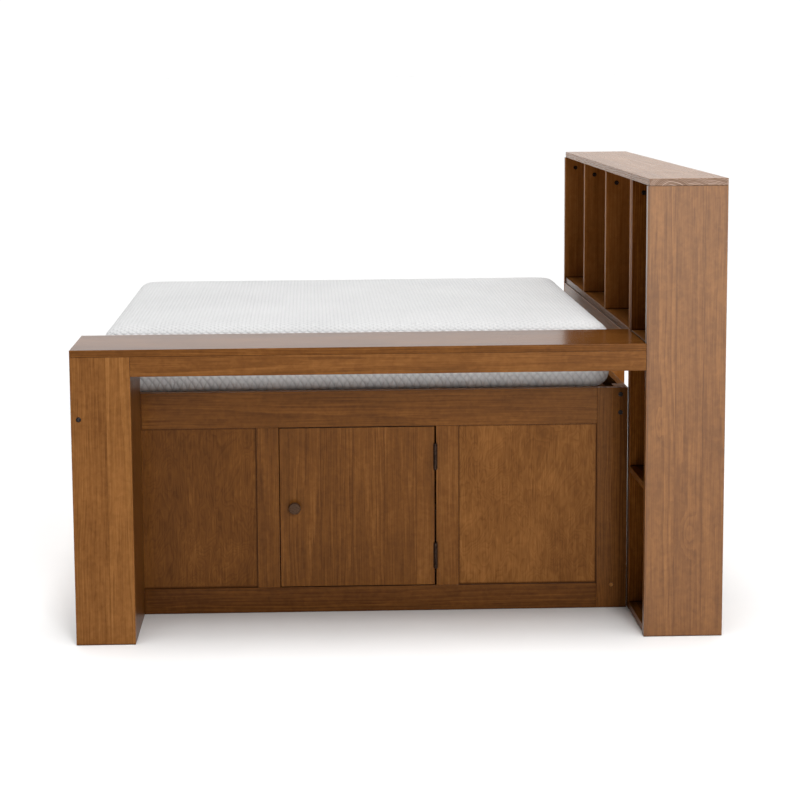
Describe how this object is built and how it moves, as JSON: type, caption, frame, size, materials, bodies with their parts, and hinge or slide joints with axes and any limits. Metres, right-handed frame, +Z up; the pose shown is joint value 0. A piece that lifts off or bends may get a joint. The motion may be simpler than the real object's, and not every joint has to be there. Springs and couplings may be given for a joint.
{
  "type": "bookcase headboard bed",
  "caption": "High storage bed with mattress, panelled base with a hinged closet door, side ledge on a box leg, and a bookcase headboard with open bays and a full-height tower.",
  "frame": {"origin": "centre of the bounding box's footprint, on the floor", "axes": "+X along the bed from the foot to the headboard, +Y from the ledge's side to the far side, +Z up"},
  "size_m": [2.295, 1.77, 1.635],
  "materials": {
    "stained_wood": "satin lacquer over brown stain",
    "knob_wood": "dark brown satin",
    "dark_bronze": "dark bronze",
    "zinc_steel": "zinc plated",
    "catch_plastic": "matt brown",
    "mattress_knit": "white ribbed knit"
  },
  "bodies": {
    "bed": {"near_top_rail": "stained_wood", "near_bottom_rail": "stained_wood", "near_latch_stile": "stained_wood", "near_hinge_stile": "stained_wood", "near_foot_stile": "stained_wood", "near_head_stile": "stained_wood", "near_foot_panel": "stained_wood", "near_head_panel": "stained_wood", "end_top_rails": "stained_wood", "end_bottom_rails": "stained_wood", "end_stiles": "stained_wood", "end_panels": "stained_wood", "slat_ledgers": "stained_wood", "centre_beam": "stained_wood", "centre_post": "stained_wood", "slats": "stained_wood", "ledge_top": "stained_wood", "ledge_apron": "stained_wood", "ledge_rear_rail": "stained_wood", "ledge_end_cleat": "stained_wood", "leg_front": "stained_wood", "leg_inner_side": "stained_wood", "leg_outer_side": "stained_wood", "leg_post": "stained_wood", "tower_outer_panel": "stained_wood", "tower_inner_panel": "stained_wood", "tower_top": "stained_wood", "tower_bottom": "stained_wood", "tower_shelf": "stained_wood", "tower_ledge_board": "stained_wood", "tower_cross_rail": "stained_wood", "tower_back": "stained_wood", "bridge_near_panel": "stained_wood", "bridge_far_panel": "stained_wood", "bridge_top": "stained_wood", "bridge_shelf": "stained_wood", "bridge_fascia": "stained_wood", "bridge_rear_rail": "stained_wood", "bridge_back": "stained_wood", "bay_divider_1": "stained_wood", "bay_divider_2": "stained_wood", "corner_posts": "stained_wood", "joint_plugs": "stained_wood", "far_rails": "stained_wood", "far_stiles": "stained_wood", "far_panels": "stained_wood", "hinge_frame_leaves": "dark_bronze", "hinge_pins": "dark_bronze", "hinge_frame_screws": "dark_bronze", "frame_bolts": "dark_bronze", "cam_locks": "dark_bronze", "cam_dowels": "zinc_steel", "magnetic_catch": "catch_plastic", "mattress": "mattress_knit"},
    "door": {"closet_door": "stained_wood", "door_knob": "knob_wood", "knob_screw": "zinc_steel", "hinge_door_leaves": "dark_bronze", "hinge_door_screws": "dark_bronze", "catch_strike": "zinc_steel"}
  },
  "joints": [
    {"name": "door_swing", "type": "hinge", "parent": "bed", "child": "door", "pos_m": [0.15125, -0.5835, 0.4], "axis": [0, 0, 1], "range_deg": [0, 170]}
  ]
}
